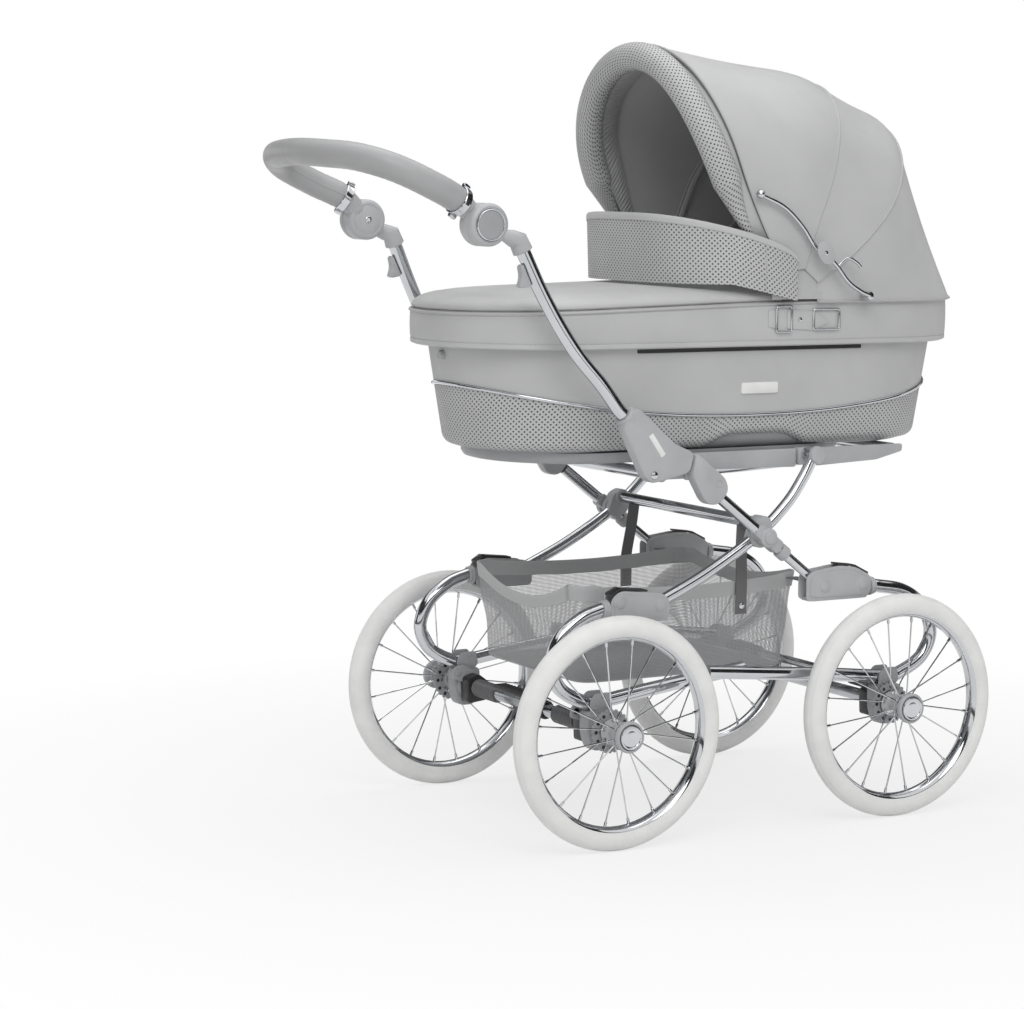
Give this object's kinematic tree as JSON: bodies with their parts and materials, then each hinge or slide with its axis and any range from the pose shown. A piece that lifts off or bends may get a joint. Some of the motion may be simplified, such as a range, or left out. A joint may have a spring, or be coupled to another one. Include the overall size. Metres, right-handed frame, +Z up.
{
  "type": "pram",
  "caption": "Classic pram: carrycot with folding hood and apron on a folding tube chassis, C springs, spoked wheels.",
  "frame": {"origin": "on the ground, below the middle of the pram's box", "axes": "+X forward to the hood, +Y to the pram's left, +Z up"},
  "size_m": [1.1604, 0.61, 1.1922],
  "materials": {
    "tyre_white": "matt white rubber",
    "chrome": "bright chrome plate",
    "grey_plastic": "satin grey",
    "black_plastic": "satin black",
    "mesh_grey": "woven mesh",
    "grey_leatherette": "light grey, partly perforated, soft sheen",
    "white_cotton": "plain woven cotton"
  },
  "bodies": {
    "root": {"rear_axle": "chrome", "front_axle": "chrome", "basket": "mesh_grey", "rear_carrier_left": "grey_plastic", "rear_carrier_right": "grey_plastic", "rear_spring_left": "chrome", "rear_spring_right": "chrome", "front_spring_left": "chrome", "front_spring_right": "chrome", "rear_block_left": "grey_plastic", "rear_block_right": "grey_plastic", "front_block_left": "grey_plastic", "front_block_right": "grey_plastic"},
    "brake": {"brake_pedal": "black_plastic"},
    "rear_scissor": {"rear_scissor": "chrome"},
    "front_scissor": {"front_scissor_left": "chrome", "front_scissor_right": "chrome", "latch_lower_left": "grey_plastic", "latch_lower_right": "grey_plastic"},
    "front_inner": {"front_inner_left": "chrome", "front_inner_right": "chrome"},
    "seat": {"seat_frame": "chrome"},
    "cot": {"cot_shell": "grey_leatherette", "mattress": "white_cotton", "apron": "grey_leatherette"},
    "flap": {"windshield": "grey_leatherette"},
    "hood_rear": {"hood_bow_rear": "chrome", "hood_panel_rear": "grey_leatherette"},
    "hood_mid": {"hood_bow_mid": "chrome", "hood_panel_mid": "grey_leatherette"},
    "hood_front": {"hood_roll": "grey_leatherette", "hood_panel_front": "grey_leatherette"},
    "stay_lower": {"stay_lower_left": "chrome", "stay_lower_right": "chrome"},
    "stay_upper": {"stay_upper_left": "chrome", "stay_upper_right": "chrome"},
    "handle": {"handle_tube_left": "chrome", "handle_tube_right": "chrome", "latch_upper_left": "grey_plastic", "latch_upper_right": "grey_plastic", "handle_socket_left": "grey_plastic", "handle_socket_right": "grey_plastic"},
    "grip": {"handle_grip": "grey_leatherette"},
    "rear_left_wheel": {"rear_left_tyre": "tyre_white", "rear_left_wheel": "chrome"},
    "rear_left_cap": {"rear_left_cap": "chrome"},
    "rear_right_wheel": {"rear_right_tyre": "tyre_white", "rear_right_wheel": "chrome"},
    "rear_right_cap": {"rear_right_cap": "chrome"},
    "front_left_wheel": {"front_left_tyre": "tyre_white", "front_left_wheel": "chrome"},
    "front_left_cap": {"front_left_cap": "chrome"},
    "front_right_wheel": {"front_right_tyre": "tyre_white", "front_right_wheel": "chrome"},
    "front_right_cap": {"front_right_cap": "chrome"},
    "trigger_left": {"trigger_left": "grey_plastic"},
    "knuckle_button_left": {"knuckle_button_left": "chrome"},
    "trigger_right": {"trigger_right": "grey_plastic"},
    "knuckle_button_right": {"knuckle_button_right": "chrome"}
  },
  "joints": [
    {"name": "rear_left_spin", "type": "hinge", "parent": "root", "child": "rear_left_wheel", "pos_m": [-0.16888, 0.265, 0.175], "axis": [0, 1, 0], "continuous": true},
    {"name": "rear_left_release", "type": "slide", "parent": "rear_left_wheel", "child": "rear_left_cap", "axis": [0, -1, 0], "range_m": [0, 0.0035], "stiffness_N_per_m": 300, "springref_m": -0.002},
    {"name": "rear_right_spin", "type": "hinge", "parent": "root", "child": "rear_right_wheel", "pos_m": [-0.16888, -0.265, 0.175], "axis": [0, 1, 0], "continuous": true},
    {"name": "rear_right_release", "type": "slide", "parent": "rear_right_wheel", "child": "rear_right_cap", "axis": [0, 1, 0], "range_m": [0, 0.0035], "stiffness_N_per_m": 300, "springref_m": -0.002},
    {"name": "front_left_spin", "type": "hinge", "parent": "root", "child": "front_left_wheel", "pos_m": [0.34312, 0.265, 0.175], "axis": [0, 1, 0], "continuous": true},
    {"name": "front_left_release", "type": "slide", "parent": "front_left_wheel", "child": "front_left_cap", "axis": [0, -1, 0], "range_m": [0, 0.0035], "stiffness_N_per_m": 300, "springref_m": -0.002},
    {"name": "front_right_spin", "type": "hinge", "parent": "root", "child": "front_right_wheel", "pos_m": [0.34312, -0.265, 0.175], "axis": [0, 1, 0], "continuous": true},
    {"name": "front_right_release", "type": "slide", "parent": "front_right_wheel", "child": "front_right_cap", "axis": [0, 1, 0], "range_m": [0, 0.0035], "stiffness_N_per_m": 300, "springref_m": -0.002},
    {"name": "brake_press", "type": "hinge", "parent": "root", "child": "brake", "pos_m": [-0.16888, 0, 0.175], "axis": [0, 1, 0], "range_deg": [-18, 0]},
    {"name": "chassis_fold", "type": "hinge", "parent": "root", "child": "rear_scissor", "pos_m": [-0.06888, 0, 0.352], "axis": [0, 1, 0], "range_deg": [0, 20]},
    {"name": "scissor_cross", "type": "hinge", "parent": "rear_scissor", "child": "front_scissor", "pos_m": [0.11212, 0, 0.446], "axis": [0, 1, 0], "range_deg": [-49.08, 0]},
    {"name": "scissor_telescope", "type": "slide", "parent": "front_scissor", "child": "front_inner", "axis": [-0.7926, 0, 0.6097], "range_m": [0, 0.04756]},
    {"name": "seat_level", "type": "hinge", "parent": "rear_scissor", "child": "seat", "pos_m": [0.21612, 0, 0.566], "axis": [0, 1, 0], "range_deg": [-20.02, 0]},
    {"name": "cot_lift", "type": "slide", "parent": "seat", "child": "cot", "axis": [0, 0, 1], "range_m": [0, 0.2]},
    {"name": "flap_fold", "type": "hinge", "parent": "cot", "child": "flap", "pos_m": [0.17612, 0, 0.802], "axis": [0, 1, 0], "range_deg": [-18, 0], "deforming": ["windshield"]},
    {"name": "hood_fold", "type": "hinge", "parent": "cot", "child": "hood_rear", "pos_m": [0.18412, 0, 0.812], "axis": [0, 1, 0], "range_deg": [0, 22], "deforming": ["hood_panel_rear"]},
    {"name": "hood_mid_fold", "type": "hinge", "parent": "hood_rear", "child": "hood_mid", "pos_m": [0.18412, 0, 0.812], "axis": [0, 1, 0], "range_deg": [0, 14.01], "deforming": ["hood_panel_mid"]},
    {"name": "hood_front_fold", "type": "hinge", "parent": "hood_mid", "child": "hood_front", "pos_m": [0.18412, 0, 0.812], "axis": [0, 1, 0], "range_deg": [0, 34.03], "deforming": ["hood_panel_front"]},
    {"name": "stay_foot", "type": "hinge", "parent": "cot", "child": "stay_lower", "pos_m": [0.30612, 0, 0.809], "axis": [0, 1, 0], "range_deg": [-22.78, 0]},
    {"name": "stay_knee", "type": "hinge", "parent": "stay_lower", "child": "stay_upper", "pos_m": [0.21712, 0, 0.875], "axis": [0, 1, 0], "range_deg": [0, 118.82]},
    {"name": "handle_fold", "type": "hinge", "parent": "front_scissor", "child": "handle", "pos_m": [-0.09988, 0, 0.551], "axis": [0, 1, 0], "range_deg": [-60, 0]},
    {"name": "grip_tilt", "type": "hinge", "parent": "handle", "child": "grip", "pos_m": [-0.36188, 0, 0.917], "axis": [0, 1, 0], "range_deg": [-50, 60]},
    {"name": "trigger_left_pull", "type": "slide", "parent": "handle", "child": "trigger_left", "axis": [-0.4132, -0.088, 0.9064], "range_m": [0, 0.012], "stiffness_N_per_m": 250, "springref_m": -0.004},
    {"name": "knuckle_button_left_press", "type": "slide", "parent": "handle", "child": "knuckle_button_left", "axis": [0, -1, 0], "range_m": [0, 0.004], "stiffness_N_per_m": 300, "springref_m": -0.002},
    {"name": "trigger_right_pull", "type": "slide", "parent": "handle", "child": "trigger_right", "axis": [-0.4132, 0.088, 0.9064], "range_m": [0, 0.012], "stiffness_N_per_m": 250, "springref_m": -0.004},
    {"name": "knuckle_button_right_press", "type": "slide", "parent": "handle", "child": "knuckle_button_right", "axis": [0, 1, 0], "range_m": [0, 0.004], "stiffness_N_per_m": 300, "springref_m": -0.002}
  ],
  "couplings": [
    {"joint": "scissor_cross", "follows": "chassis_fold", "ratio": -2.4515},
    {"joint": "scissor_telescope", "follows": "chassis_fold", "m_per_rad": 0.13612},
    {"joint": "seat_level", "follows": "chassis_fold", "ratio": -1},
    {"joint": "hood_mid_fold", "follows": "hood_fold", "ratio": 0.63636},
    {"joint": "hood_front_fold", "follows": "hood_fold", "ratio": 1.5455},
    {"joint": "stay_foot", "follows": "hood_fold", "ratio": -1.0342},
    {"joint": "stay_knee", "follows": "hood_fold", "ratio": 5.3956}
  ]
}
